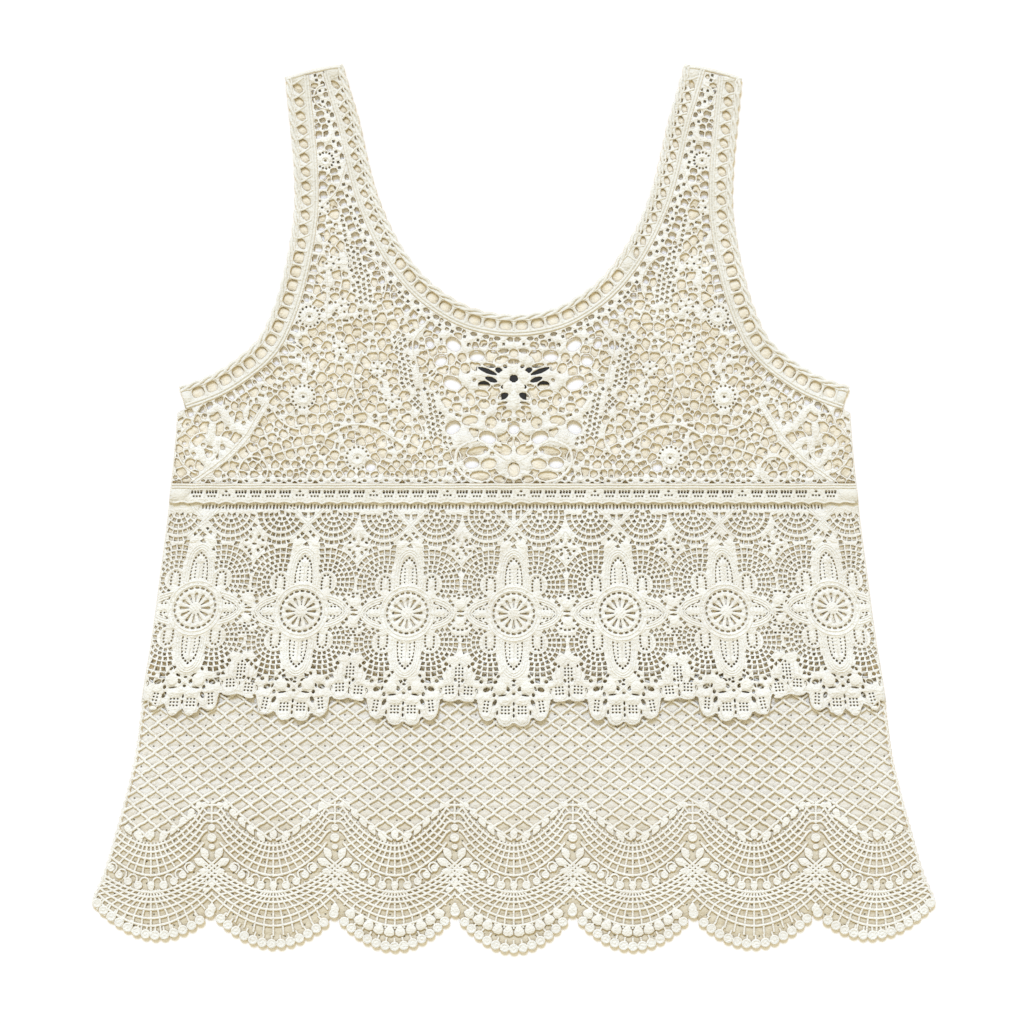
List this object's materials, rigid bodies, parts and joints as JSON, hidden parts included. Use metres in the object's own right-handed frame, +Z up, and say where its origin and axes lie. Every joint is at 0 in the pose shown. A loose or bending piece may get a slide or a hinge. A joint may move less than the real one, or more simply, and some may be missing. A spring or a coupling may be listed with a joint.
{
  "type": "sleeveless crochet lace tank top, laid flat",
  "caption": "Sleeveless ivory crochet top laid flat, with a net yoke, a motif lace panel and a scalloped net skirt.",
  "frame": {"origin": "centre of the garment's outline in plan, on the surface that it lies on", "axes": "+X towards the wearer's left, +Y towards the shoulders, +Z up from the surface, through the back and then the front"},
  "size_m": [0.5796, 0.6082, 0.0084],
  "materials": {
    "lace_front": "matt ivory cotton thread, crochet lace",
    "lace_back": "matt ivory cotton thread, crochet lace, inside face",
    "edging_front": "matt ivory cotton cord",
    "edging_back": "matt ivory cotton cord, inside face",
    "label": "plain black woven tape"
  },
  "bodies": {
    "root": {"yoke_front": "lace_front", "yoke_back": "lace_back", "neck_trim_front": "edging_front", "neck_trim_back": "edging_back", "armhole_trim_left_front": "edging_front", "armhole_trim_right_front": "edging_front", "armhole_trim_left_back": "edging_back", "armhole_trim_right_back": "edging_back", "band_front": "edging_front", "band_back": "edging_back", "lace_panel_front": "lace_front", "lace_panel_back": "lace_back", "skirt_front": "lace_front", "skirt_back": "lace_back", "neck_label": "label"}
  },
  "joints": []
}
